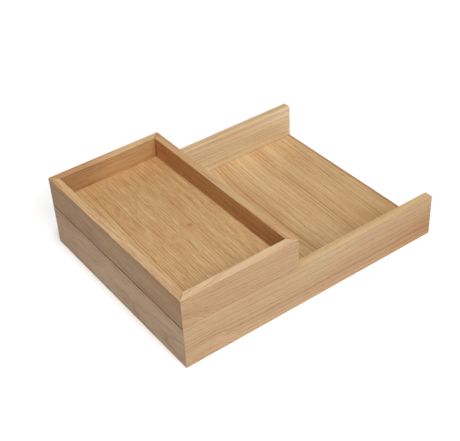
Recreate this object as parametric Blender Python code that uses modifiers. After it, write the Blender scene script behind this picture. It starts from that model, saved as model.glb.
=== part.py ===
"""Drawer organizer insert in oak: a three-sided base box, open at one end, with a shallow tray on its rims.

The frame's origin is on the ground, at the middle of the footprint. +X runs from the closed end to the open
end, +Y from front to back and +Z up. All sizes are in metres. The tray slides along +X on the base's front
and back rims, kept in line by two guide strips that drop between the base's walls.
"""

from math import pi, radians, sqrt

import bpy
from mathutils import Matrix, Vector

# Overall sizes. The base's open bay takes an A4 sheet, 0.297 long, between its front and back walls.
WIDTH = 0.420
DEPTH = 0.324
HEIGHT = 0.112
BASE_HEIGHT = 0.066
TRAY_WIDTH = 0.180
WALL = 0.012

# Clearance that glued, resting and let-in pieces keep to each other.
GAP = 0.0003
# Radius of the eased edges of the solid boards, and of the strips.
EASE = 0.0008
FINE_EASE = 0.0004
EASE_SEGMENTS = 2
# Edges that turn by more than this are eased.
EASED_ANGLE = radians(40)

# Floor panels: veneered boards let into grooves in the walls.
PANEL = 0.008
GROOVE_DEPTH = 0.005
BASE_PANEL_RISE = 0.004
TRAY_PANEL_RISE = 0.006
LIPPING = 0.004

# Loose tenons across the mitred corners.
TENON_THICKNESS = 0.003
TENON_WIDTH = 0.008
TENON_INSET = 0.007
TENON_ABOVE_PANEL = 0.005
TENON_BELOW_RIM = 0.009

# Guide strips under the tray's floor.
GUIDE_WIDTH = 0.010
GUIDE_DROP = 0.005
GUIDE_PLAY = 0.0006

# Countersunk screws that hold the guide strips, 3 x 16 mm.
SCREW_HEAD_RADIUS = 0.003
SCREW_SHANK_RADIUS = 0.0015
SCREW_LENGTH = 0.016
SCREW_TIP = 0.003
SCREW_RIM = 0.0003
SCREW_SUNK = 0.0003
SCREWS_PER_GUIDE = 3
SCREW_END_DISTANCE = 0.018
RECESS_SPAN = 0.0034
RECESS_SLOT = 0.0008
RECESS_DEPTH = 0.0014

# Room that a cutter takes past the piece it cuts, and the side of the block that saws a mitre.
OVERCUT = 0.010
MITRE_BLOCK = 4 * WALL
MITRE_ANGLE = radians(45)

# Turned solids: flats round the turn, and the distance within which points on the axis are one.
TURNED_STEPS = 20
MERGE_DISTANCE = 0.00001

# Inward direction of each wall of a rectangular frame.
INWARD = {
    "front": Vector((0, 1, 0)),
    "back": Vector((0, -1, 0)),
    "left": Vector((1, 0, 0)),
    "right": Vector((-1, 0, 0)),
}

# Material name: (linear colour, roughness, metallic).
MATERIALS = {
    "solid_oak": ((0.60, 0.40, 0.22, 1), 0.55, 0.0),
    "oak_veneer": ((0.57, 0.36, 0.18, 1), 0.50, 0.0),
    "beech": ((0.64, 0.42, 0.26, 1), 0.60, 0.0),
    "zinc_plated_steel": ((0.60, 0.58, 0.52, 1), 0.35, 1.0),
}


class Box:
    """An upright box from its lowest to its highest corner."""

    def __init__(self, low, high):
        self.low = Vector(low)
        self.high = Vector(high)

    def with_floor(self, bottom, top):
        """The same plan between two other heights."""
        return Box((self.low.x, self.low.y, bottom), (self.high.x, self.high.y, top))


def clear_scene():
    for obj in list(bpy.data.objects):
        bpy.data.objects.remove(obj, do_unlink=True)


def new_collection(name):
    collection = bpy.data.collections.new(name)
    bpy.context.scene.collection.children.link(collection)
    return collection


def make_material(name):
    colour, roughness, metallic = MATERIALS[name]
    material = bpy.data.materials.new(name)
    material.use_nodes = True
    material.diffuse_color = colour
    shader = material.node_tree.nodes["Principled BSDF"]
    shader.inputs["Base Color"].default_value = colour
    shader.inputs["Roughness"].default_value = roughness
    shader.inputs["Metallic"].default_value = metallic
    return material


def move_to(obj, collection):
    for other in list(obj.users_collection):
        other.objects.unlink(obj)
    collection.objects.link(obj)


def make_empty(name, location, collection):
    empty = bpy.data.objects.new(name, None)
    empty.location = location
    collection.objects.link(empty)
    return empty


def make_box(name, box, collection):
    """A box primitive with its origin at its centre and its scale applied."""
    bpy.ops.mesh.primitive_cube_add(size=1, location=(box.low + box.high) / 2)
    obj = bpy.context.object
    obj.name = name
    obj.data.name = name
    size = box.high - box.low
    obj.data.transform(Matrix.Diagonal((size.x, size.y, size.z, 1)))
    move_to(obj, collection)
    return obj


def make_turned(name, profile, collection):
    """A solid turned about its own Z axis. The profile's (radius, height) points run from top to bottom."""
    mesh = bpy.data.meshes.new(name)
    points = [(radius, 0, height) for radius, height in profile]
    edges = [(i, i + 1) for i in range(len(points) - 1)]
    mesh.from_pydata(points, edges, [])
    obj = bpy.data.objects.new(name, mesh)
    collection.objects.link(obj)
    turn = obj.modifiers.new("turn", "SCREW")
    turn.axis = "Z"
    turn.angle = 2 * pi
    turn.steps = TURNED_STEPS
    turn.render_steps = TURNED_STEPS
    turn.use_merge_vertices = True
    turn.merge_threshold = MERGE_DISTANCE
    return obj


def make_cutter(obj):
    obj.hide_render = True
    obj.display_type = "WIRE"
    return obj


def ease_edges(obj, radius):
    bevel = obj.modifiers.new("eased_edges", "BEVEL")
    bevel.width = radius
    bevel.segments = EASE_SEGMENTS
    bevel.limit_method = "ANGLE"
    bevel.angle_limit = EASED_ANGLE


def cut(obj, cutter):
    boolean = obj.modifiers.new("cut_" + cutter.name, "BOOLEAN")
    boolean.operation = "DIFFERENCE"
    boolean.solver = "EXACT"
    boolean.object = cutter


def attach(obj, parent, material):
    """Gives a finished piece its material and hangs it on its body's empty, without moving it."""
    obj.data.materials.append(material)
    obj.parent = parent
    obj.matrix_parent_inverse = Matrix.Translation(parent.location).inverted()


def wall_box(frame, side):
    """The full-length board on one side of a frame, before its ends are mitred."""
    low, high = frame.low.copy(), frame.high.copy()
    if side == "front":
        high.y = low.y + WALL
    elif side == "back":
        low.y = high.y - WALL
    elif side == "left":
        high.x = low.x + WALL
    else:
        low.x = high.x - WALL
    return Box(low, high)


def corner_of(frame, side, other):
    """The outer vertical edge that two neighbouring sides share, at the frame's mid height."""
    names = (side, other)
    return Vector(
        (
            frame.low.x if "left" in names else frame.high.x,
            frame.low.y if "front" in names else frame.high.y,
            (frame.low.z + frame.high.z) / 2,
        )
    )


def mitre_cutter(name, frame, side, other, collection):
    """A block whose face is the mitre plane, on the side that is sawn off this wall's end."""
    height = frame.high.z - frame.low.z + 2 * OVERCUT
    away = (INWARD[side] - INWARD[other]).normalized()
    centre = corner_of(frame, side, other) + away * (MITRE_BLOCK - GAP) / 2
    half = Vector((MITRE_BLOCK, MITRE_BLOCK, height)) / 2
    cutter = make_box(name, Box(centre - half, centre + half), collection)
    cutter.rotation_euler.z = MITRE_ANGLE
    return make_cutter(cutter)


def tenon_block(name, frame, side, other, bottom, top, clearance, collection):
    """A flat upright strip square across the mitre. With a clearance it is the mortise's cutter."""
    inward = INWARD[side] + INWARD[other]
    centre = corner_of(frame, side, other) + inward * TENON_INSET
    centre.z = (bottom + top) / 2
    size = Vector((TENON_WIDTH, TENON_THICKNESS, top - bottom))
    half = size / 2 + Vector((clearance, clearance, clearance))
    block = make_box(name, Box(centre - half, centre + half), collection)
    block.rotation_euler.z = -MITRE_ANGLE if inward.x * inward.y > 0 else MITRE_ANGLE
    return block


def groove_room(frame, rise, open_side=None):
    """The space that a floor panel and its grooves take up inside a frame."""
    inset = WALL - GROOVE_DEPTH
    low = Vector((frame.low.x + inset, frame.low.y + inset, frame.low.z + rise - GAP))
    high = Vector((frame.high.x - inset, frame.high.y - inset, low.z + PANEL + 2 * GAP))
    if open_side == "right":
        high.x = frame.high.x + OVERCUT
    return Box(low, high)


def build_frame(prefix, frame, sides, rise, body, parts, cutters, materials):
    """Mitred walls round a rectangle, grooved for the floor panel, with a loose tenon in each corner."""
    open_side = None if "right" in sides else "right"
    room = groove_room(frame, rise, open_side)
    groove = make_cutter(make_box(prefix + "_groove", room, cutters))
    walls = {}
    for side in sides:
        wall = make_box(f"{prefix}_{side}_wall", wall_box(frame, side), parts)
        ease_edges(wall, EASE)
        cut(wall, groove)
        attach(wall, body, materials["solid_oak"])
        walls[side] = wall
    tenon_bottom = frame.low.z + rise + PANEL + TENON_ABOVE_PANEL
    tenon_top = frame.high.z - TENON_BELOW_RIM
    for side in ("front", "back"):
        for end in [s for s in ("left", "right") if s in sides]:
            corner = f"{side}_{end}"
            heights = (tenon_bottom, tenon_top)
            mortise = tenon_block(f"{prefix}_mortise_{corner}", frame, side, end, *heights, GAP, cutters)
            make_cutter(mortise)
            for wall, neighbour in ((side, end), (end, side)):
                name = f"{prefix}_mitre_{wall}_{neighbour}"
                cut(walls[wall], mitre_cutter(name, frame, wall, neighbour, cutters))
                cut(walls[wall], mortise)
            tenon = tenon_block(f"{prefix}_tenon_{corner}", frame, side, end, *heights, 0, parts)
            attach(tenon, body, materials["beech"])


def build_base(frame, body, parts, cutters, materials):
    """The open-ended box: three walls, the floor panel, and the lipping on the panel's open edge."""
    sides = ("front", "back", "left")
    build_frame("base", frame, sides, BASE_PANEL_RISE, body, parts, cutters, materials)
    bottom = frame.low.z + BASE_PANEL_RISE
    room = groove_room(frame, BASE_PANEL_RISE).with_floor(bottom, bottom + PANEL)
    low = room.low + Vector((GAP, GAP, 0))
    high = Vector((frame.high.x, room.high.y - GAP, room.high.z))
    seam = frame.high.x - LIPPING
    panel = make_box("base_floor_panel", Box(low, (seam - GAP / 2, high.y, high.z)), parts)
    attach(panel, body, materials["oak_veneer"])
    lipping = make_box("base_floor_lipping", Box((seam + GAP / 2, low.y, low.z), high), parts)
    ease_edges(lipping, FINE_EASE)
    attach(lipping, body, materials["solid_oak"])


def screw_profile(clearance):
    """Half section of a countersunk screw with its head's face at height 0 and its point down."""
    cone = SCREW_HEAD_RADIUS - SCREW_SHANK_RADIUS
    return [
        (0, clearance),
        (SCREW_HEAD_RADIUS + clearance, clearance),
        (SCREW_HEAD_RADIUS + clearance, -SCREW_RIM),
        (SCREW_SHANK_RADIUS + clearance, -SCREW_RIM - cone),
        (SCREW_SHANK_RADIUS + clearance, -(SCREW_LENGTH - SCREW_TIP)),
        (0, -SCREW_LENGTH - clearance * sqrt(2)),
    ]


def recess_cutters(name, location, cutters):
    """Two crossed bars that sink the driver's cross into a screw's head."""
    bars = []
    for letter, span_x, span_y in (("a", RECESS_SPAN, RECESS_SLOT), ("b", RECESS_SLOT, RECESS_SPAN)):
        low = Vector(location) - Vector((span_x / 2, span_y / 2, OVERCUT))
        high = Vector(location) + Vector((span_x / 2, span_y / 2, RECESS_DEPTH))
        bars.append(make_cutter(make_box(f"{name}_recess_{letter}", Box(low, high), cutters)))
    return bars


def build_screw(name, location, body, parts, cutters, material):
    """A screw driven upwards, head down, at this point. Returns the cutter for its hole."""
    screw = make_turned(name, screw_profile(0), parts)
    hole = make_cutter(make_turned(name + "_hole", screw_profile(GAP), cutters))
    for obj in (screw, hole):
        obj.location = location
        obj.rotation_euler.x = pi
    for bar in recess_cutters(name, location, cutters):
        cut(screw, bar)
    attach(screw, body, material)
    return hole


def build_guide(side, frame, body, parts, cutters, materials):
    """A strip screwed under the tray's floor, just inside the base's wall. Returns its screws' holes."""
    inner = WALL + GUIDE_PLAY
    bottom = frame.low.z - GUIDE_DROP
    top = frame.low.z + TRAY_PANEL_RISE - GAP
    near = frame.low.y + inner if side == "front" else frame.high.y - inner - GUIDE_WIDTH
    ends = (frame.low.x + inner, frame.high.x - inner)
    strip = Box((ends[0], near, bottom), (ends[1], near + GUIDE_WIDTH, top))
    guide = make_box(f"tray_guide_{side}", strip, parts)
    ease_edges(guide, EASE)
    attach(guide, body, materials["solid_oak"])
    first = ends[0] + SCREW_END_DISTANCE
    pitch = (ends[1] - ends[0] - 2 * SCREW_END_DISTANCE) / (SCREWS_PER_GUIDE - 1)
    holes = []
    for i in range(SCREWS_PER_GUIDE):
        place = (first + i * pitch, near + GUIDE_WIDTH / 2, bottom + SCREW_SUNK)
        name = f"guide_screw_{side}_{i + 1}"
        hole = build_screw(name, place, body, parts, cutters, materials["zinc_plated_steel"])
        cut(guide, hole)
        holes.append(hole)
    return holes


def build_tray(frame, body, parts, cutters, materials):
    """The shallow box: four walls, the floor panel, and the guide strips with their screws."""
    sides = ("front", "back", "left", "right")
    build_frame("tray", frame, sides, TRAY_PANEL_RISE, body, parts, cutters, materials)
    bottom = frame.low.z + TRAY_PANEL_RISE
    room = groove_room(frame, TRAY_PANEL_RISE).with_floor(bottom, bottom + PANEL)
    edge = Vector((GAP, GAP, 0))
    panel = make_box("tray_floor_panel", Box(room.low + edge, room.high - edge), parts)
    attach(panel, body, materials["oak_veneer"])
    for side in ("front", "back"):
        for hole in build_guide(side, frame, body, parts, cutters, materials):
            cut(panel, hole)


def main():
    clear_scene()
    parts = new_collection("drawer_organizer_insert")
    cutters = new_collection("cutters")
    materials = {name: make_material(name) for name in MATERIALS}
    base_frame = Box((-WIDTH / 2, -DEPTH / 2, 0), (WIDTH / 2, DEPTH / 2, BASE_HEIGHT))
    tray_low = Vector((-WIDTH / 2, -DEPTH / 2, BASE_HEIGHT + GAP))
    tray_frame = Box(tray_low, (tray_low.x + TRAY_WIDTH, DEPTH / 2, HEIGHT))
    base = make_empty("base", (0, 0, 0), parts)
    tray = make_empty("tray", (tray_low.x, 0, BASE_HEIGHT), parts)
    build_base(base_frame, base, parts, cutters, materials)
    build_tray(tray_frame, tray, parts, cutters, materials)


main()
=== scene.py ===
"""The looks of the drawer organizer insert: oak boards with eased edges and tight mitres, veneered floors,
guide strips with their screws, a white studio floor, soft light and the camera."""

from math import cos, floor, pi, radians, sin

import bmesh
import bpy
from mathutils import Matrix, Vector


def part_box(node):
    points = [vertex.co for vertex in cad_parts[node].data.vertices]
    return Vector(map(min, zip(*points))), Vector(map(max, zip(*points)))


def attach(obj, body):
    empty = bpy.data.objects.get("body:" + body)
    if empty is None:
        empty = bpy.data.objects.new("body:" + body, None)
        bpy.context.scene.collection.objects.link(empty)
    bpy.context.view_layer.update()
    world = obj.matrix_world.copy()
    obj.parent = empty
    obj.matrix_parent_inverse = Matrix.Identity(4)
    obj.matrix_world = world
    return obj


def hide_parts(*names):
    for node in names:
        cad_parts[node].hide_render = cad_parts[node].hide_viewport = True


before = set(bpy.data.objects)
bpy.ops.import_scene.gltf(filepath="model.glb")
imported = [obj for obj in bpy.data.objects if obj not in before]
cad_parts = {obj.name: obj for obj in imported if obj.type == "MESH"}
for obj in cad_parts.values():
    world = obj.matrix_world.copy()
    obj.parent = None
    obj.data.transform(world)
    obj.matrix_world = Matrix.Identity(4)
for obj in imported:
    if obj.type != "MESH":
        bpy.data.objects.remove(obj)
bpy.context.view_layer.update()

MM = 0.001
# Points closer than this, in metres, are the same one.
SAME_POINT = 1e-6

# ---------------------------------------------------------------------------------------------------
# Boards. Every piece is built where it lies, in the row frame, so its object stays at the origin.
# ---------------------------------------------------------------------------------------------------

# Inward direction of each wall of a rectangular frame.
INWARD = {
    "front": Vector((0, 1, 0)),
    "back": Vector((0, -1, 0)),
    "left": Vector((1, 0, 0)),
    "right": Vector((-1, 0, 0)),
}

# Radii of eased edges: those that a hand meets, those that close a seam, the upright corners of an open
# end, and the lipping's.
EASE = 0.6 * MM
SEAM_EASE = 0.15 * MM
END_EASE = 2.5 * MM
STRIP_EASE = 0.5 * MM
EASE_STEPS = 4
CORNER_STEPS = 5
# Edges sharper than this stay sharp.
SMOOTH_ANGLE = radians(32)
# Least part of a broad face's normal that points across its board.
BROAD_NORMAL = 0.99

# Rebate that opens the seam over the base's left wall, and how much lower it is at the back.
SLOT_DEPTH = 2.4 * MM
SLOT_HEIGHT = 1.7 * MM
SLOT_TAPER = 0.5 * MM

# Glue line of a mitre at its outer corner, and how much each board opens it on the way to the inner one.
GLUE_LINE = 0.14 * MM
MITRE_OPENING = 0.018
# Clearance of a panel in its groove and a tenon in its mortise, and of a screw in its hole.
CLEARANCE = 0.3 * MM
HOLE_CLEARANCE = 0.15 * MM
# Room that a cutter takes past the piece it cuts.
OVERCUT = 10 * MM


def union_box(*nodes):
    """Lowest and highest corners of these CAD nodes together."""
    boxes = [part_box(node) for node in nodes]
    low = Vector(min(box[0][i] for box in boxes) for i in range(3))
    high = Vector(max(box[1][i] for box in boxes) for i in range(3))
    return low, high


def box_bmesh(low, high):
    """A box between these two corners."""
    bm = bmesh.new()
    bmesh.ops.create_cube(bm, size=1)
    size = high - low
    place = Matrix.Translation((low + high) / 2) @ Matrix.Diagonal((*size, 1))
    bmesh.ops.transform(bm, matrix=place, verts=bm.verts)
    return bm


def edge_middle(edge):
    """The point halfway along an edge."""
    return (edge.verts[0].co + edge.verts[1].co) / 2


def edges_along(bm, axis):
    """The four edges of a box that run along this axis."""
    return [e for e in bm.edges if abs((e.verts[1].co - e.verts[0].co)[axis]) > SAME_POINT]


def ease(bm, edges, radius):
    """Rounds these edges."""
    bmesh.ops.bevel(
        bm, geom=edges, offset=radius, segments=EASE_STEPS, profile=0.5, affect="EDGES", clamp_overlap=True
    )


def saw(bm, point, normal):
    """Takes off what lies on the normal's side of a plane, and closes the cut."""
    geometry = bm.verts[:] + bm.edges[:] + bm.faces[:]
    cut = bmesh.ops.bisect_plane(bm, geom=geometry, plane_co=point, plane_no=normal, clear_outer=True)
    rim = [item for item in cut["geom_cut"] if isinstance(item, bmesh.types.BMEdge)]
    if rim:
        bmesh.ops.edgeloop_fill(bm, edges=rim)


def finished(name, bm):
    """An object of this mesh, shaded smooth across its eased edges and flat elsewhere."""
    bmesh.ops.recalc_face_normals(bm, faces=bm.faces)
    mesh = bpy.data.meshes.new(name)
    bm.to_mesh(mesh)
    bm.free()
    mesh.shade_smooth()
    mesh.set_sharp_from_angle(angle=SMOOTH_ANGLE)
    obj = bpy.data.objects.new(name, mesh)
    bpy.context.scene.collection.objects.link(obj)
    return obj


def flatten_shading(obj):
    """Keeps the large faces' shading flat, with the eased edges blending into them."""
    weigh = obj.modifiers.new("weighted_normals", "WEIGHTED_NORMAL")
    weigh.keep_sharp = True


def cut_out(obj, cutters):
    """Cuts the shape of these closed meshes out of the object."""
    for cutter in cutters:
        boolean = obj.modifiers.new("cut", "BOOLEAN")
        boolean.operation = "DIFFERENCE"
        boolean.solver = "EXACT"
        boolean.object = cutter
    evaluated = obj.evaluated_get(bpy.context.evaluated_depsgraph_get())
    whole = obj.data
    obj.data = bpy.data.meshes.new_from_object(evaluated)
    obj.data.name = obj.name
    obj.modifiers.clear()
    bpy.data.meshes.remove(whole)
    obj.data.shade_smooth()
    obj.data.set_sharp_from_angle(angle=SMOOTH_ANGLE)


def drop(objects):
    """Deletes helper objects once they have done their work."""
    for obj in objects:
        bpy.data.objects.remove(obj, do_unlink=True)


class Ring:
    """The rectangular frame of a box's walls: its sides, outer corners and wall thickness."""

    def __init__(self, prefix, sides):
        self.prefix = prefix
        self.sides = sides
        self.low, self.high = union_box(*[f"{prefix}_{side}_wall" for side in sides])
        wall_low, wall_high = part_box(f"{prefix}_front_wall")
        self.thickness = wall_high.y - wall_low.y

    def corner(self, side, other):
        """The outer vertical edge that two neighbouring sides share."""
        names = (side, other)
        x = self.low.x if "left" in names else self.high.x
        y = self.low.y if "front" in names else self.high.y
        return Vector((x, y, (self.low.z + self.high.z) / 2))

    def wall_box(self, side):
        """The full-length board on one side, before its ends are mitred."""
        low, high = self.low.copy(), self.high.copy()
        if side == "front":
            high.y = low.y + self.thickness
        elif side == "back":
            low.y = high.y - self.thickness
        elif side == "left":
            high.x = low.x + self.thickness
        else:
            low.x = high.x - self.thickness
        return low, high

    def neighbours(self, side):
        """The sides that this one is mitred to."""
        across = ("left", "right") if side in ("front", "back") else ("front", "back")
        return [other for other in across if other in self.sides]


def round_corner(bm, ring, side, other, radius):
    """Eases the outer vertical edge of a mitred corner with planes that touch its quarter round."""
    out_a, out_b = -INWARD[side], -INWARD[other]
    axis = ring.corner(side, other) + (INWARD[side] + INWARD[other]) * radius
    for step in range(1, CORNER_STEPS + 1):
        angle = pi / 2 * step / (CORNER_STEPS + 1)
        normal = out_a * cos(angle) + out_b * sin(angle)
        saw(bm, axis + normal * radius, normal)


def rim_edges(bm, across, kept_ends):
    """The edges round a board's two broad faces, but for those that lie at a mitred end."""
    bm.normal_update()
    along = 1 - across
    edges = []
    for edge in bm.edges:
        broad = [face for face in edge.link_faces if abs(face.normal[across]) > BROAD_NORMAL]
        at_mitre = any(all(abs(v.co[along] - end) < SAME_POINT for v in edge.verts) for end in kept_ends)
        if len(broad) == 1 and not at_mitre:
            edges.append(edge)
    return edges


def wall(ring, side, top_ease, bottom_ease):
    """One wall: a board with eased edges and rounded open ends, mitred where it meets its neighbours."""
    low, high = ring.wall_box(side)
    bm = box_bmesh(low, high)
    along, across = (0, 1) if side in ("front", "back") else (1, 0)
    middle = (low.z + high.z) / 2
    mitred_ends = [ring.corner(side, other)[along] for other in ring.neighbours(side)]
    for end in (low[along], high[along]):
        if end not in mitred_ends:
            across_edges = edges_along(bm, across)
            corners = [e for e in across_edges if abs(edge_middle(e)[along] - end) < SAME_POINT]
            ease(bm, corners, END_EASE)
    rims = rim_edges(bm, across, mitred_ends)
    if top_ease == bottom_ease:
        ease(bm, rims, top_ease)
    else:
        ease(bm, [e for e in rims if edge_middle(e).z > middle], top_ease)
        ease(bm, [e for e in rims if e.is_valid and edge_middle(e).z < middle], bottom_ease)
    for other in ring.neighbours(side):
        away = (INWARD[side] - INWARD[other]).normalized()
        inside = (INWARD[side] + INWARD[other]).normalized()
        saw(bm, ring.corner(side, other) - away * GLUE_LINE / 2, away + inside * MITRE_OPENING)
        round_corner(bm, ring, side, other, EASE)
    return finished(f"{ring.prefix}_{side}_board", bm)


def grown_node(node, by):
    """A closed copy of a CAD node, larger by this much on every side."""
    bm = bmesh.new()
    bm.from_mesh(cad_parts[node].data)
    bmesh.ops.remove_doubles(bm, verts=bm.verts, dist=SAME_POINT)
    bm.normal_update()
    moves = [(v, v.normal * by * v.calc_shell_factor()) for v in bm.verts]
    for vertex, move in moves:
        vertex.co += move
    return finished(node + "_cutter", bm)


def grown_box(name, low, high, by):
    """A box that is larger by this much on every side."""
    margin = Vector((by, by, by))
    return finished(name, box_bmesh(low - margin, high + margin))


def panel_groove(ring):
    """The cutter of the grooves that hold a floor panel. At an open side it runs out past the end."""
    low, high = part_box(f"{ring.prefix}_floor_panel")
    if "right" not in ring.sides:
        high.x = ring.high.x + OVERCUT
    return grown_box(ring.prefix + "_groove_cutter", low, high, CLEARANCE)


def seam_slot(ring):
    """The cutter of the rebate along the left wall's top outer edge. Its floor rises towards the back."""
    low, high = ring.wall_box("left")
    bm = box_bmesh(
        Vector((low.x - OVERCUT, low.y - OVERCUT, high.z - SLOT_HEIGHT)),
        Vector((low.x + SLOT_DEPTH, high.y + OVERCUT, high.z + OVERCUT)),
    )
    for vertex in bm.verts:
        if vertex.co.z < high.z and vertex.co.y > high.y:
            vertex.co.z += SLOT_TAPER
    return finished("seam_slot_cutter", bm)


def build_walls(ring, eases, open_seam):
    """The walls of a box, grooved for the floor and mortised for the tenons."""
    boards = {side: wall(ring, side, *eases[side]) for side in ring.sides}
    groove = panel_groove(ring)
    cutters = {side: [groove] for side in ring.sides}
    spent = [groove]
    for side in ("front", "back"):
        for other in ring.neighbours(side):
            mortise = grown_node(f"{ring.prefix}_tenon_{side}_{other}", CLEARANCE)
            spent.append(mortise)
            cutters[side].append(mortise)
            cutters[other].append(mortise)
    if open_seam:
        slot = seam_slot(ring)
        spent.append(slot)
        cutters["left"].append(slot)
    for side, board in boards.items():
        cut_out(board, cutters[side])
        flatten_shading(board)
    drop(spent)
    return boards


def strip(name, node, radius):
    """A straight piece with eased edges, where its CAD node lies."""
    bm = box_bmesh(*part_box(node))
    ease(bm, bm.edges[:], radius)
    return finished(name, bm)


# ---------------------------------------------------------------------------------------------------
# Screws: countersunk, with a cross recess and a cut thread
# ---------------------------------------------------------------------------------------------------

# Heights above the head's face at which the head's rim ends, and the shank and the thread begin.
HEAD_RIM = 0.3 * MM
SHANK_START = 1.8 * MM
THREAD_START = 4 * MM
THREAD_PITCH = 1.35 * MM
THREAD_DEPTH = 0.45 * MM
# Width of the thread's ridge at its foot, as a share of the pitch.
RIDGE_WIDTH = 0.625
POINT_LENGTH = 3 * MM
SCREW_SIDES = 28
SCREW_ROWS_PER_PITCH = 8
# Radius of the shank and span of the recess, for a head of radius 1.
SHANK_SHARE = 0.5
RECESS_SHARE = 1.15
RECESS_DEPTH = 1.4 * MM
RECESS_WIDTH = 0.8 * MM
# Size of the recess at its bottom against its mouth: along a blade and across it.
RECESS_TAPER = (0.45, 0.7)


def screw_radius(height, angle, length, head, shank):
    """Radius at a height above the head's face. The thread is a ridge that climbs its pitch in a turn."""
    if height <= HEAD_RIM:
        return head
    if height < SHANK_START:
        return head + (shank - head) * (height - HEAD_RIM) / (SHANK_START - HEAD_RIM)
    if height < THREAD_START:
        return shank
    turn = height / THREAD_PITCH - angle / (2 * pi)
    ridge = max(0, 1 - 2 / RIDGE_WIDTH * abs(turn - floor(turn) - 0.5))
    fade = min(1, (height - THREAD_START) / THREAD_PITCH)
    root = shank - THREAD_DEPTH * fade
    taper = min(1, (length - height) / POINT_LENGTH)
    return (root + THREAD_DEPTH * fade * ridge) * taper


def screw_bmesh(place, length, head, shank):
    """A screw with its head's face down at this place and its point up."""
    bm = bmesh.new()
    heights = [0, HEAD_RIM, SHANK_START]
    rows = int((length - THREAD_START) / THREAD_PITCH * SCREW_ROWS_PER_PITCH)
    heights += [THREAD_START + (length - THREAD_START) * row / rows for row in range(rows)]
    rings = []
    for height in heights:
        ring = []
        for side in range(SCREW_SIDES):
            angle = 2 * pi * side / SCREW_SIDES
            radius = screw_radius(height, angle, length, head, shank)
            ring.append(bm.verts.new(place + Vector((radius * cos(angle), radius * sin(angle), height))))
        rings.append(ring)
    for lower, upper in zip(rings, rings[1:]):
        for side in range(SCREW_SIDES):
            after = (side + 1) % SCREW_SIDES
            bm.faces.new((lower[side], lower[after], upper[after], upper[side]))
    bm.faces.new(rings[0])
    point = bm.verts.new(place + Vector((0, 0, length)))
    for side in range(SCREW_SIDES):
        bm.faces.new((rings[-1][side], rings[-1][(side + 1) % SCREW_SIDES], point))
    return bm


def recess_blades(place, span):
    """Two crossed wedges that cut the driver's cross into the head."""
    blades = []
    for number, turn in enumerate((0, pi / 2), 1):
        low = Vector((-span / 2, -RECESS_WIDTH / 2, -OVERCUT))
        high = Vector((span / 2, RECESS_WIDTH / 2, RECESS_DEPTH))
        bm = box_bmesh(low, high)
        for vertex in bm.verts:
            if vertex.co.z > 0:
                vertex.co.x *= RECESS_TAPER[0]
                vertex.co.y *= RECESS_TAPER[1]
        turned = Matrix.Translation(place) @ Matrix.Rotation(turn, 4, "Z")
        bmesh.ops.transform(bm, matrix=turned, verts=bm.verts)
        blades.append(finished(f"recess_cutter_{number}", bm))
    return blades


def screw(node):
    """The detailed screw that stands for a CAD screw."""
    low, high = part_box(node)
    head = (high.x - low.x) / 2
    place = Vector(((low.x + high.x) / 2, (low.y + high.y) / 2, low.z))
    thread = screw_bmesh(place, high.z - low.z, head, head * SHANK_SHARE)
    piece = finished(node + "_threaded", thread)
    blades = recess_blades(place, head * RECESS_SHARE)
    cut_out(piece, blades)
    drop(blades)
    return piece


# ---------------------------------------------------------------------------------------------------
# Node trees
# ---------------------------------------------------------------------------------------------------

# Places of the mix node's sockets for colours, among those for numbers and vectors.
MIX_FACTOR = 0
MIX_FIRST = 6
MIX_SECOND = 7
MIX_RESULT = 2
# Where a seed takes a noise, for each axis.
NOISE_SHIFT = (1.0, 7.3, 1.7)


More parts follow.
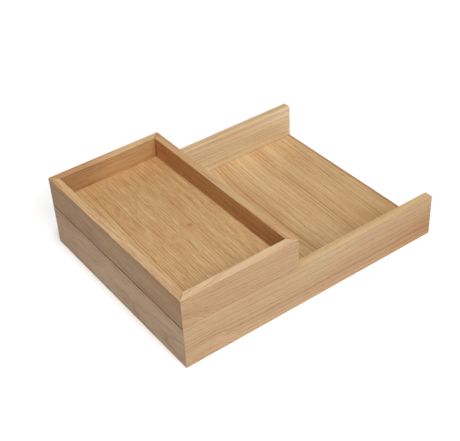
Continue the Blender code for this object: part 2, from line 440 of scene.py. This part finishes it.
class Graph:
    """Adds nodes to a tree with short calls. A value is a number, a tuple or another node's output."""

    def __init__(self, tree):
        self.tree = tree

    def node(self, kind, **settings):
        """A new node of this kind with these properties."""
        made = self.tree.nodes.new(kind)
        for name, value in settings.items():
            setattr(made, name, value)
        return made

    def feed(self, socket, value):
        """Links an output to the socket, or sets a constant on it."""
        if isinstance(value, bpy.types.NodeSocket):
            self.tree.links.new(value, socket)
        else:
            socket.default_value = value

    def math(self, operation, *values, clamp=False):
        """The result of this operation on numbers."""
        made = self.node("ShaderNodeMath", operation=operation, use_clamp=clamp)
        for socket, value in zip(made.inputs, values):
            self.feed(socket, value)
        return made.outputs[0]

    def vector(self, operation, *values):
        """The result of this operation on vectors, which is a number for a length or a dot product."""
        made = self.node("ShaderNodeVectorMath", operation=operation)
        for socket, value in zip(made.inputs, values):
            self.feed(socket, value)
        return made.outputs["Value" if operation in ("LENGTH", "DOT_PRODUCT") else "Vector"]

    def noise(self, place, size, detail=0.0, seed=0.0):
        """Noise from 0 to 1 with features of this size along each axis, in the unit of place."""
        scale = tuple(1 / length for length in size)
        shift = tuple(seed * pace for pace in NOISE_SHIFT)
        stretched = self.vector("MULTIPLY_ADD", place, scale, shift)
        made = self.node("ShaderNodeTexNoise")
        made.inputs["Scale"].default_value = 1
        made.inputs["Detail"].default_value = detail
        self.feed(made.inputs["Vector"], stretched)
        return made.outputs[0]

    def noise_along(self, value, seed):
        """Noise from 0 to 1 along one number."""
        made = self.node("ShaderNodeTexNoise", noise_dimensions="1D")
        made.inputs["Scale"].default_value = 1
        made.inputs["Detail"].default_value = 1
        self.feed(made.inputs["W"], self.math("ADD", value, seed))
        return made.outputs[0]

    def spread(self, value, low, high, to_low=0.0, to_high=1.0):
        """Smoothly maps low..high onto to_low..to_high, and holds the ends."""
        made = self.node("ShaderNodeMapRange", interpolation_type="SMOOTHSTEP")
        for name, given in (("Value", value), ("From Min", low), ("From Max", high),
                            ("To Min", to_low), ("To Max", to_high)):
            self.feed(made.inputs[name], given)
        return made.outputs["Result"]

    def curve(self, value, stops):
        """A grey ramp through these (position, level) stops."""
        made = self.node("ShaderNodeValToRGB")
        elements = made.color_ramp.elements
        for place, level in stops[1:-1]:
            elements.new(place)
        for element, (place, level) in zip(elements, stops):
            element.position = place
            element.color = (level, level, level, 1)
        self.feed(made.inputs["Fac"], value)
        return made.outputs["Color"]

    def mix(self, factor, first, second, blend="MIX"):
        """Mixes two colours."""
        made = self.node("ShaderNodeMix", data_type="RGBA", blend_type=blend, clamp_factor=True)
        self.feed(made.inputs[MIX_FACTOR], factor)
        self.feed(made.inputs[MIX_FIRST], first)
        self.feed(made.inputs[MIX_SECOND], second)
        return made.outputs[MIX_RESULT]


# ---------------------------------------------------------------------------------------------------
# Oak. Its figure is a solid one: growth rings round the log's pith, cut by each board's faces, so a
# board's face, edge and end grain belong together. Log space is in millimetres, with X along the grain.
# ---------------------------------------------------------------------------------------------------

# Tone across one growth ring, from the porous early wood to the dense late wood.
RING_PROFILE = (
    (0.0, 0.5), (0.05, 1.0), (0.2, 0.72), (0.45, 0.22), (0.8, 0.0), (0.95, 0.1), (1.0, 0.5),
)

# Inputs of the oak group: name, kind and the setting of a board's figure that goes straight into it.
OAK_INPUTS = (
    ("Log", "NodeSocketVector", None),
    ("Bend", "NodeSocketFloat", None),
    ("End Grain", "NodeSocketFloat", None),
    ("Ring Width", "NodeSocketFloat", "ring"),
    ("Sway", "NodeSocketFloat", "sway"),
    ("Rings", "NodeSocketFloat", "rings"),
    ("Bands", "NodeSocketFloat", "bands"),
    ("Fibre", "NodeSocketFloat", "fibre"),
    ("Fineness", "NodeSocketVector", "fineness"),
    ("Seed", "NodeSocketFloat", "seed"),
    ("Pale", "NodeSocketColor", "pale"),
    ("Pink", "NodeSocketColor", "pink"),
    ("Dark", "NodeSocketColor", "dark"),
)
OAK_OUTPUTS = (
    ("Color", "NodeSocketColor"),
    ("Roughness", "NodeSocketFloat"),
    ("Height", "NodeSocketFloat"),
)

# Sizes of the oak's features along the grain, across it and up, in millimetres.
SLOW_SWAY = (210, 60, 60)
QUICK_SWAY = (48, 15, 15)
COARSE_FIBRE = (60, 1.5, 1.5)
FINE_FIBRE = (13, 0.5, 0.5)
PORE = (8, 0.42, 0.42)
PINK_PATCH = (130, 34, 34)

# Where a board's seed takes it in the noise.
SEED_SHIFT = (913.0, 377.0, 211.0)
# The quick sway's share of the slow one, and how far a sway of 1 moves a ring, in millimetres.
QUICK_SWAY_SHARE = 0.22
SWAY_REACH = 3.0
# Rings bunch up and spread by this many ring widths, and bands are groups of rings. Both are noise along
# the count of rings, at these paces.
BUNCHING = 2.6
BUNCHING_PACE = 0.31
BAND_PACE = 0.17
# Tone of the faintest year, and how much stronger the strongest one is.
FAINT_YEAR = 0.4
YEAR_SPREAD = 0.9
FINE_FIBRE_SHARE = 0.6
# Levels of their noises at which pores and pink patches begin and are complete.
PORE_LEVELS = (0.55, 0.66)
PATCH_LEVELS = (0.36, 0.64)
# Share of the pores that the late wood has too, and how many more the early wood has.
LATE_PORES = 0.25
EARLY_PORES = 0.75
# Darkness of plain wood, and what pores and end grain add to it.
PLAIN_DARKNESS = 0.12
PORE_DARKNESS = 0.5
END_DARKNESS = 0.35
# Roughness of the palest wood, and what the darkest adds.
PALE_ROUGHNESS = 0.46
DARK_ROUGHNESS = 0.16
# Height of the relief at pores, fibres and early wood.
PORE_RELIEF = -0.8
FIBRE_RELIEF = -0.4
EARLY_RELIEF = -0.2


def oak_group():
    """The node group that turns a place in the log into oak's colour, roughness and height."""
    tree = bpy.data.node_groups.new("oak", "ShaderNodeTree")
    for name, kind, _ in OAK_INPUTS:
        tree.interface.new_socket(name, in_out="INPUT", socket_type=kind)
    for name, kind in OAK_OUTPUTS:
        tree.interface.new_socket(name, in_out="OUTPUT", socket_type=kind)
    g = Graph(tree)
    given = g.node("NodeGroupInput").outputs
    log, seed = given["Log"], given["Seed"]
    place = g.vector("ADD", log, g.vector("MULTIPLY", seed, SEED_SHIFT))

    # Growth rings: the distance from the pith, swayed along the trunk.
    slow = g.math("SUBTRACT", g.noise(place, SLOW_SWAY, detail=1.0), 0.5)
    quick = g.math("SUBTRACT", g.noise(place, QUICK_SWAY, detail=1.0, seed=3.0), 0.5)
    sway = g.math("MULTIPLY", g.math("MULTIPLY_ADD", quick, QUICK_SWAY_SHARE, slow), given["Sway"])
    sway = g.math("MULTIPLY", sway, SWAY_REACH)
    distance = g.vector("LENGTH", g.vector("MULTIPLY", log, (0, 1, 1)))
    radius = g.math("ADD", g.math("ADD", distance, sway), given["Bend"])
    count = g.math("DIVIDE", radius, given["Ring Width"])
    bunching = g.noise_along(g.math("MULTIPLY", count, BUNCHING_PACE), seed)
    count = g.math("MULTIPLY_ADD", bunching, BUNCHING, count)
    year = g.node("ShaderNodeTexWhiteNoise", noise_dimensions="1D")
    g.feed(year.inputs["W"], g.math("ADD", g.math("FLOOR", count), seed))
    strength = g.math("MULTIPLY_ADD", year.outputs["Value"], YEAR_SPREAD, FAINT_YEAR)
    early = g.curve(g.math("FRACT", count), RING_PROFILE)
    ring_tone = g.math("MULTIPLY", early, strength)
    bands = g.math("SUBTRACT", g.noise_along(g.math("MULTIPLY", count, BAND_PACE), seed=40.0), 0.5)

    # Fibres and pores, stretched along the grain.
    strands = g.vector("MULTIPLY", place, given["Fineness"])
    coarse = g.math("SUBTRACT", g.noise(strands, COARSE_FIBRE, detail=2.0, seed=11.0), 0.5)
    fine = g.math("SUBTRACT", g.noise(place, FINE_FIBRE, detail=1.0, seed=17.0), 0.5)
    fibre = g.math("MULTIPLY_ADD", fine, FINE_FIBRE_SHARE, coarse)
    pores = g.spread(g.noise(place, PORE, seed=23.0), *PORE_LEVELS)
    pores = g.math("MULTIPLY", pores, g.math("MULTIPLY_ADD", early, EARLY_PORES, LATE_PORES))

    darkness = g.math("MULTIPLY_ADD", ring_tone, given["Rings"], PLAIN_DARKNESS)
    darkness = g.math("MULTIPLY_ADD", bands, given["Bands"], darkness)
    darkness = g.math("MULTIPLY_ADD", fibre, given["Fibre"], darkness)
    darkness = g.math("MULTIPLY_ADD", pores, PORE_DARKNESS, darkness)
    darkness = g.math("MULTIPLY_ADD", given["End Grain"], END_DARKNESS, darkness, clamp=True)

    # Colour: pale wood with pinkish patches, darkened by all of the above.
    patches = g.spread(g.noise(place, PINK_PATCH, detail=1.0, seed=31.0), *PATCH_LEVELS)
    wood = g.mix(patches, given["Pale"], given["Pink"])
    colour = g.mix(darkness, wood, given["Dark"])

    roughness = g.math("MULTIPLY_ADD", darkness, DARK_ROUGHNESS, PALE_ROUGHNESS)
    height = g.math("MULTIPLY_ADD", pores, PORE_RELIEF, g.math("MULTIPLY", fibre, FIBRE_RELIEF))
    height = g.math("MULTIPLY_ADD", early, EARLY_RELIEF, height)

    out = g.node("NodeGroupOutput").inputs
    g.feed(out["Color"], colour)
    g.feed(out["Roughness"], roughness)
    g.feed(out["Height"], height)
    return tree


OAK = oak_group()

# Figure of plain boards. All lengths are in millimetres, from the middle of the board's box.
OAK_DEFAULTS = {
    # Where the pith is, across and up, and how far it moves that way for each millimetre along.
    "pith": (60.0, -40.0),
    "lean": (0.0, 0.0),
    # Width of a growth ring, and how much the rings wander.
    "ring": 3.0,
    "sway": 3.0,
    # Strength of the rings, of their bands and of the fibres, and how much the coarse fibres shrink.
    "rings": 0.42,
    "bands": 0.6,
    "fibre": 1.3,
    "fineness": (1.0, 1.0, 1.0),
    "seed": 0.0,
    # Colours of the wood.
    "pale": (0.635, 0.430, 0.235, 1),
    "pink": (0.620, 0.385, 0.208, 1),
    "dark": (0.385, 0.190, 0.072, 1),
    # Painted light and shade: tints of the outer side, of the inner side and of what faces up.
    "outer": (0.92, 0.92, 0.90),
    "inner": (0.92, 0.92, 0.90),
    "top": (0.92, 0.92, 0.90),
    # A bulge bends the rings round a place, and a spot tints one; some spots are marks in the wood, such as
    # a knot, and some are painted shade. Both fade out at their reach, and weigh the distance along, across
    # and up by their stretch.
    "bulge": None,
    "spots_and_painted_shade": (),
}
# The outer side's painted-light tint ends this far before a board's middle and the inner side's is complete
# as far past it, in millimetres.
TINT_BLEND = 3.0
# Upward part of the normal at which the top's painted-light tint begins and is complete.
TOP_TURN = (0.4, 0.9)
# Part of the normal along the grain at which end grain begins and is complete.
END_TURN = (0.5, 1.0)

TO_MILLIMETRES = (1000, 1000, 1000)
BUMP_STRENGTH = 0.6
OAK_BUMP = 0.12 * MM
BEECH_BUMP = 0.05 * MM
STEEL_BUMP = 0.02 * MM


def opaque(colour):
    """This tint as a colour with full opacity."""
    return (*colour, 1)


def new_material(name):
    """A material with its node helper and its shader."""
    material = bpy.data.materials.new(name)
    material.use_nodes = True
    return material, Graph(material.node_tree), material.node_tree.nodes["Principled BSDF"]


def add_bump(g, shader, height, depth):
    """Gives the shader a relief of this depth."""
    bump = g.node("ShaderNodeBump")
    bump.inputs["Strength"].default_value = BUMP_STRENGTH
    bump.inputs["Distance"].default_value = depth
    g.feed(bump.inputs["Height"], height)
    g.feed(shader.inputs["Normal"], bump.outputs[0])


def object_place(g):
    """Place in the row frame, in millimetres."""
    return g.vector("MULTIPLY", g.node("ShaderNodeTexCoord").outputs["Object"], TO_MILLIMETRES)


def grain_place(g, along, middle):
    """Place from a board's middle, in millimetres, with X along its grain, Y across and Z up."""
    point = g.node("ShaderNodeTexCoord").outputs["Object"]
    place = g.vector("MULTIPLY", g.vector("SUBTRACT", point, tuple(middle)), TO_MILLIMETRES)
    if along == "X":
        return place
    parts = g.node("ShaderNodeSeparateXYZ")
    g.feed(parts.inputs[0], place)
    joined = g.node("ShaderNodeCombineXYZ")
    for socket, part in zip(joined.inputs, ("Y", "X", "Z")):
        g.feed(socket, parts.outputs[part])
    return joined.outputs[0]


def end_grain(g, along):
    """1 where a face looks along the grain, 0 on the board's sides."""
    normal = g.node("ShaderNodeTexCoord").outputs["Normal"]
    axis = (1, 0, 0) if along == "X" else (0, 1, 0)
    return g.spread(g.math("ABSOLUTE", g.vector("DOT_PRODUCT", normal, axis)), *END_TURN)


def distance_from(g, place, spot):
    """Distance from a spot's middle, with each axis weighed by the spot's stretch."""
    away = g.vector("SUBTRACT", place, spot["at"])
    return g.vector("LENGTH", g.vector("MULTIPLY", away, spot["stretch"]))


def painted_light_and_spots(g, place, inward, figure):
    """Painted light and shade at a place: a tint for the outer side, the inner side and what faces up,
    times the spots, which are marks in the wood and painted shade. Inward is 1 or -1, the way from outer to
    inner side across the board.
    """
    depth = g.vector("DOT_PRODUCT", place, (0, inward, 0))
    inner_share = g.spread(depth, -TINT_BLEND, TINT_BLEND)
    faces = g.mix(inner_share, opaque(figure["outer"]), opaque(figure["inner"]))
    up = g.vector("DOT_PRODUCT", g.node("ShaderNodeTexCoord").outputs["Normal"], (0, 0, 1))
    tint = g.mix(g.spread(up, *TOP_TURN), faces, opaque(figure["top"]))
    for spot in figure["spots_and_painted_shade"]:
        share = g.spread(distance_from(g, place, spot), spot["reach"], 0.0)
        tint = g.mix(share, tint, opaque(spot["tint"]), "MULTIPLY")
    return tint


def oak_material(name, along, middle, inward, **given):
    """Oak for a board whose grain runs along X or Y, with this point as the middle of its box."""
    figure = {**OAK_DEFAULTS, **given}
    material, g, shader = new_material(name)
    place = grain_place(g, along, middle)
    length = g.vector("DOT_PRODUCT", place, (1, 0, 0))
    leaning = g.vector("MULTIPLY_ADD", length, tuple(-value for value in (0, *figure["lean"])), place)

    oak = g.node("ShaderNodeGroup", node_tree=OAK)
    g.feed(oak.inputs["Log"], g.vector("SUBTRACT", leaning, (0, *figure["pith"])))
    g.feed(oak.inputs["End Grain"], end_grain(g, along))
    for socket, _, key in OAK_INPUTS:
        if key:
            oak.inputs[socket].default_value = figure[key]
    bulge = figure["bulge"]
    if bulge:
        away = distance_from(g, place, bulge)
        g.feed(oak.inputs["Bend"], g.spread(away, bulge["reach"], 0.0, 0.0, bulge["bend"]))

    # The wood's own colour, times the painted light and shade of each face and the spots.
    tint = painted_light_and_spots(g, place, inward, figure)
    g.feed(shader.inputs["Base Color"], g.mix(1.0, oak.outputs["Color"], tint, "MULTIPLY"))
    g.feed(shader.inputs["Roughness"], oak.outputs["Roughness"])
    add_bump(g, shader, oak.outputs["Height"], OAK_BUMP)
    return material


# The boards of this piece, each from its own place in a log.
# Their outer, inner and top tints are painted light and shade: lighter on lit faces, darker on shaded ones.
BOARD_OAK = {
    "base_front": {
        "pith": (34, -70), "lean": (0.03, -0.01), "ring": 5.4, "sway": 4, "rings": 0.4,
        "bands": 0.5, "fibre": 0.65, "seed": 1.0,
        "bulge": {"at": (-176, 0, -40), "stretch": (0.75, 0, 1), "reach": 46, "bend": -34},
        "outer": (0.805, 0.81, 0.79), "inner": (0.92, 0.95, 0.95), "top": (0.90, 0.94, 0.93),
        "spots_and_painted_shade": (
            {"at": (210, 0, -20), "stretch": (0.45, 0, 1), "reach": 70, "tint": (0.86, 0.70, 0.52)},
        ),
    },
    "base_back": {
        "pith": (-40, 72), "lean": (0.0, -0.03), "ring": 5.6, "sway": 5, "rings": 0.24,
        "fibre": 0.5, "seed": 2.0,
        # Painted light: the inner face is tinted far paler than the outer one, and the top a little paler.
        "outer": (0.90, 0.94, 0.96), "inner": (1.25, 1.48, 1.70), "top": (0.90, 1.00, 1.08),
    },
    "base_left": {
        "pith": (26, -12), "lean": (0.05, -0.02), "ring": 4.5, "sway": 5, "rings": 0.35,
        # Painted shade: the outer face is tinted darker.
        "fibre": 1.6, "seed": 3.0, "outer": (0.705, 0.665, 0.605),
        "spots_and_painted_shade": (
            {"at": (160, 0, 0), "stretch": (1, 0, 0), "reach": 200, "tint": (0.89, 0.82, 0.72)},
        ),
    },
    "tray_front": {
        "pith": (30, -60), "lean": (0.03, -0.05), "ring": 4.0, "sway": 4, "rings": 0.4,
        "bands": 0.4, "fibre": 0.75, "seed": 4.0, "pink": (0.628, 0.405, 0.222, 1),
        "bulge": {"at": (-95, 0, -28), "stretch": (0.75, 0, 1), "reach": 48, "bend": -28},
        # Painted light and shade: the outer face is tinted darker and the top paler.
        "outer": (0.80, 0.765, 0.70), "inner": (0.98, 0.98, 0.98), "top": (1.01, 1.08, 1.22),
    },
    "tray_back": {
        "pith": (-40, -70), "lean": (0.02, 0.0), "ring": 2.6, "sway": 2, "fibre": 2.1, "seed": 5.0,
        "outer": (0.90, 0.88, 0.84), "inner": (1.06, 1.00, 0.88), "top": (0.93, 0.96, 0.95),
        "spots_and_painted_shade": (
            # Painted shade: the board is darker towards its left end, as the left wall shades the inner
            # face there.
            {"at": (-78, 0, 0), "stretch": (1, 0, 0), "reach": 110, "tint": (0.76, 0.68, 0.66)},
        ),
    },
    "tray_left": {
        "pith": (30, -50), "lean": (0.02, 0.02), "ring": 3.2, "sway": 3, "rings": 0.35,
        "fibre": 2.0, "seed": 6.0,
        # Painted shade: the outer face is tinted far darker than the inner face and the top.
        "outer": (0.565, 0.445, 0.218), "inner": (0.98, 0.96, 0.95), "top": (0.93, 0.98, 1.04),
        "spots_and_painted_shade": (
            {"at": (160, -6, 0), "stretch": (1, 15, 0), "reach": 200, "tint": (0.92, 0.87, 0.66)},
        ),
    },
    "tray_right": {
        "pith": (36, -60), "lean": (0.0, 0.02), "ring": 3.0, "sway": 2, "fibre": 1.9, "seed": 7.0,
        # Painted light on the inner face, tinted paler, and painted shade on the top, tinted darker.
        "outer": (0.88, 0.84, 0.78), "inner": (1.21, 1.03, 0.82), "top": (0.82, 0.79, 0.74),
    },
    "tray_guide": {"pith": (-30, -80), "ring": 2.4, "sway": 1.5, "seed": 8.0},
    "base_lipping": {
        "pith": (-30, -80), "ring": 2.2, "sway": 1.5, "seed": 9.0,
        "outer": (0.74, 0.66, 0.54), "inner": (0.74, 0.66, 0.54), "top": (0.68, 0.58, 0.44),
    },
    "tray_panel": {
        "pith": (-95, -40), "lean": (0.03, 0.0), "ring": 2.0, "sway": 2.0, "rings": 0.95, "fibre": 3.0,
        "fineness": (1.45, 1.45, 1.45), "seed": 10.0, "top": (0.83, 0.84, 0.755),
        "bulge": {"at": (-15.8, 22.8, 0), "stretch": (0.6, 1, 0), "reach": 12, "bend": 2.5},
        "spots_and_painted_shade": (
            {"at": (-15.8, 22.8, 0), "stretch": (0.7, 1, 0), "reach": 4.6, "tint": (0.80, 0.50, 0.40)},
            {"at": (150, 0, 0), "stretch": (1, 0, 0), "reach": 130, "tint": (0.93, 0.88, 0.80)},
        ),
    },
    "base_panel": {
        "pith": (30, -46), "lean": (0.05, 0.0), "ring": 4.4, "sway": 3.0, "rings": 0.55, "bands": 0.9,
        "fibre": 1.4, "fineness": (1.2, 1.0, 1.0), "seed": 11.0, "top": (0.84, 0.87, 0.83),
        "spots_and_painted_shade": (
            # Painted shade: darker towards the front wall.
            {"at": (-155, 0, 0), "stretch": (1, 0, 0), "reach": 120, "tint": (0.92, 0.89, 0.87)},
            {"at": (-150, 190, 0), "stretch": (0.8, 1, 0), "reach": 120, "tint": (0.98, 0.90, 0.82)},
        ),
    },
}


def board_material(board, node, along, inward=1):
    """The oak of one board, placed in the box of its CAD node."""
    low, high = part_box(node)
    return oak_material("oak_" + board, along, (low + high) / 2, inward, **BOARD_OAK[board])


# Beech: its colours, the sizes of its clouds and flecks in millimetres, the noise levels at which flecks
# begin and are complete, its roughness, and what flecks add to that.
BEECH_PALE = (0.66, 0.44, 0.27, 1)
BEECH_PINK = (0.58, 0.36, 0.21, 1)
BEECH_FLECK = (0.40, 0.22, 0.12, 1)
BEECH_CLOUD = (9, 9, 40)
FLECK = (0.5, 0.5, 1.8)
FLECK_LEVELS = (0.60, 0.68)
BEECH_ROUGHNESS = 0.55
FLECK_ROUGHNESS = 0.12


def beech_material():
    """Beech: even pinkish wood with short ray flecks, for the loose tenons."""
    material, g, shader = new_material("beech_flecked")
    place = object_place(g)
    cloud = g.noise(place, BEECH_CLOUD, detail=2.0, seed=5.0)
    flecks = g.spread(g.noise(place, FLECK, seed=9.0), *FLECK_LEVELS)
    wood = g.mix(cloud, BEECH_PALE, BEECH_PINK)
    g.feed(shader.inputs["Base Color"], g.mix(flecks, wood, BEECH_FLECK))
    g.feed(shader.inputs["Roughness"], g.math("MULTIPLY_ADD", flecks, FLECK_ROUGHNESS, BEECH_ROUGHNESS))
    add_bump(g, shader, g.math("MULTIPLY", flecks, -1.0), BEECH_BUMP)
    return material


# Steel: its colours, the sizes of its clouds and marks in millimetres, and the noise levels between which
# its roughness goes from least to most.
STEEL_BRIGHT = (0.72, 0.72, 0.70, 1)
STEEL_DULL = (0.52, 0.53, 0.56, 1)
STEEL_CLOUD = (2.5, 2.5, 2.5)
TURNING_MARK = (1.5, 1.5, 0.06)
STEEL_CLOUD_LEVELS = (0.3, 0.7)
STEEL_ROUGHNESS = (0.24, 0.42)


def steel_material():
    """Zinc-plated steel: bright, faintly clouded, with fine turning marks."""
    material, g, shader = new_material("zinc_plated_steel_clouded")
    place = object_place(g)
    cloud = g.noise(place, STEEL_CLOUD, detail=3.0, seed=2.0)
    marks = g.noise(place, TURNING_MARK, detail=1.0, seed=6.0)
    g.feed(shader.inputs["Base Color"], g.mix(cloud, STEEL_BRIGHT, STEEL_DULL))
    g.feed(shader.inputs["Roughness"], g.spread(cloud, *STEEL_CLOUD_LEVELS, *STEEL_ROUGHNESS))
    shader.inputs["Metallic"].default_value = 1.0
    add_bump(g, shader, marks, STEEL_BUMP)
    return material


# ---------------------------------------------------------------------------------------------------
# The pieces
# ---------------------------------------------------------------------------------------------------

def stand_for(piece, node, body, material):
    """Gives a piece its material and body, and hides the CAD node that it stands for."""
    piece.data.materials.clear()
    piece.data.materials.append(material)
    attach(piece, body)
    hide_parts(node)


def build_box(prefix, eases, open_seam=False):
    """A box: its walls, with these top and bottom easings, and its floor panel. All ride on its body."""
    ring = Ring(prefix, tuple(eases))
    for side, board in build_walls(ring, eases, open_seam).items():
        node = f"{prefix}_{side}_wall"
        along = "X" if side in ("front", "back") else "Y"
        inward = 1 if side in ("front", "left") else -1
        stand_for(board, node, prefix, board_material(f"{prefix}_{side}", node, along, inward))
    node = f"{prefix}_floor_panel"
    panel = strip(f"{prefix}_floor_board", node, SEAM_EASE)
    stand_for(panel, node, prefix, board_material(prefix + "_panel", node, "Y"))


def build_lipping():
    """The solid strip on the open edge of the base's floor."""
    node = "base_floor_lipping"
    lipping = strip("base_floor_edge_strip", node, STRIP_EASE)
    flatten_shading(lipping)
    stand_for(lipping, node, "base", board_material("base_lipping", node, "Y"))


def build_guides(steel):
    """The two strips under the tray, with holes for their screws, and the screws."""
    nodes = {side: f"tray_guide_{side}" for side in ("front", "back")}
    guides = {side: strip(f"tray_guide_strip_{side}", node, EASE) for side, node in nodes.items()}
    for side, guide in guides.items():
        screw_nodes = [f"guide_screw_{side}_{number}" for number in (1, 2, 3)]
        holes = [grown_node(node, HOLE_CLEARANCE) for node in screw_nodes]
        cut_out(guide, holes)
        drop(holes)
        flatten_shading(guide)
        wood = board_material("tray_guide", nodes[side], "X")
        stand_for(guide, nodes[side], "tray", wood)
        for node in screw_nodes:
            stand_for(screw(node), node, "tray", steel)


def finish_tenons(material):
    """The tenons keep their CAD shape, which the boards hide, and get a better material."""
    for name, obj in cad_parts.items():
        if "_tenon_" in name:
            obj.data.materials[0] = material


# The top and bottom easings of each box's walls, the least where an edge closes the seam between them.
BASE_EASES = {
    "front": (EASE, EASE),
    "back": (EASE, EASE),
    "left": (SEAM_EASE, EASE),
}
TRAY_EASES = {
    "front": (EASE, SEAM_EASE),
    "back": (EASE, SEAM_EASE),
    "left": (EASE, SEAM_EASE),
    "right": (EASE, EASE),
}

build_box("base", BASE_EASES, open_seam=True)
build_box("tray", TRAY_EASES)
build_lipping()
build_guides(steel_material())
finish_tenons(beech_material())

# ---------------------------------------------------------------------------------------------------
# Studio
# ---------------------------------------------------------------------------------------------------

# The floor, in metres. It lies just under the object, so that their faces don't coincide.
FLOOR_RADIUS = 60
FLOOR_SIDES = 64
FLOOR_DROP = 0.05 * MM
FLOOR_COLOUR = (0.93, 0.93, 0.93, 1)
FLOOR_MOTTLE = (0.91, 0.91, 0.91, 1)
FLOOR_CLOUD = (0.4, 0.4, 0.4)
FLOOR_ROUGHNESS = 0.9

# The camera, from a perspective fit: its place in metres, its angles in degrees and its lens in
# millimetres.
CAMERA_PLACE = Vector((-0.6393, -0.8975, 0.8902))
CAMERA_AZIMUTH = -34.563
CAMERA_ELEVATION = 37.956
CAMERA_ROLL = -3.202
CAMERA_LENS = 77.0
CAMERA_NEAR = 0.01

# How far off the lamps are placed, in metres. Sun lamps shine alike from any distance.
LIGHT_DISTANCE = 3
# Soft lights: azimuth (0 in front, 90 to the right), elevation, angular size in degrees and strength.
SOFT_LIGHTS = {
    "top": (335, 82, 24, 2.80),
    "front": (0, 36, 40, 1.62),
    "front_right": (45, 16, 40, 0.12),
    "left": (270, 50, 40, 0.15),
}


def floor_material():
    """Matt white studio paper, very slightly mottled."""
    material, g, shader = new_material("studio_paper")
    place = g.node("ShaderNodeTexCoord").outputs["Object"]
    mottle = g.noise(place, FLOOR_CLOUD, detail=2.0, seed=1.0)
    g.feed(shader.inputs["Base Color"], g.mix(mottle, FLOOR_COLOUR, FLOOR_MOTTLE))
    shader.inputs["Roughness"].default_value = FLOOR_ROUGHNESS
    return material


def direction(azimuth, elevation):
    """Unit vector from the object towards this azimuth and elevation, in degrees."""
    a, e = radians(azimuth), radians(elevation)
    return Vector((sin(a) * cos(e), -cos(a) * cos(e), sin(e)))


def studio_floor():
    """A plain floor that reaches past every view."""
    bm = bmesh.new()
    bmesh.ops.create_circle(bm, cap_ends=True, radius=FLOOR_RADIUS, segments=FLOOR_SIDES)
    floor_piece = finished("studio_floor", bm)
    floor_piece.location.z = -FLOOR_DROP
    floor_piece.data.materials.append(floor_material())


def soft_light(name, azimuth, elevation, size, strength):
    """A sun lamp with soft shadows, which shines on the object from this direction."""
    lamp = bpy.data.lights.new(name, "SUN")
    lamp.angle = radians(size)
    lamp.energy = strength
    obj = bpy.data.objects.new(name, lamp)
    out = direction(azimuth, elevation)
    obj.location = out * LIGHT_DISTANCE
    obj.rotation_euler = (-out).to_track_quat("-Z", "Y").to_euler()
    bpy.context.scene.collection.objects.link(obj)


def build_camera():
    """The camera, looking at the object from the photograph's angle."""
    data = bpy.data.cameras.new("camera")
    data.lens = CAMERA_LENS
    data.clip_start = CAMERA_NEAR
    obj = bpy.data.objects.new("camera", data)
    back = direction(CAMERA_AZIMUTH, CAMERA_ELEVATION)
    turn = (-back).to_track_quat("-Z", "Y").to_matrix().to_4x4()
    roll = Matrix.Rotation(radians(CAMERA_ROLL), 4, "Z")
    obj.matrix_world = Matrix.Translation(CAMERA_PLACE) @ turn @ roll
    bpy.context.scene.collection.objects.link(obj)
    bpy.context.scene.camera = obj


studio_floor()
for name, settings in SOFT_LIGHTS.items():
    soft_light(name, *settings)
build_camera()

# The world gives no light of its own: the lamps and the pale floor light the object.
world = bpy.data.worlds.new("studio")
world.use_nodes = True
world.node_tree.nodes["Background"].inputs["Strength"].default_value = 0.0
bpy.context.scene.world = world
bpy.context.scene.view_settings.view_transform = "Standard"

bpy.context.view_layer.update()
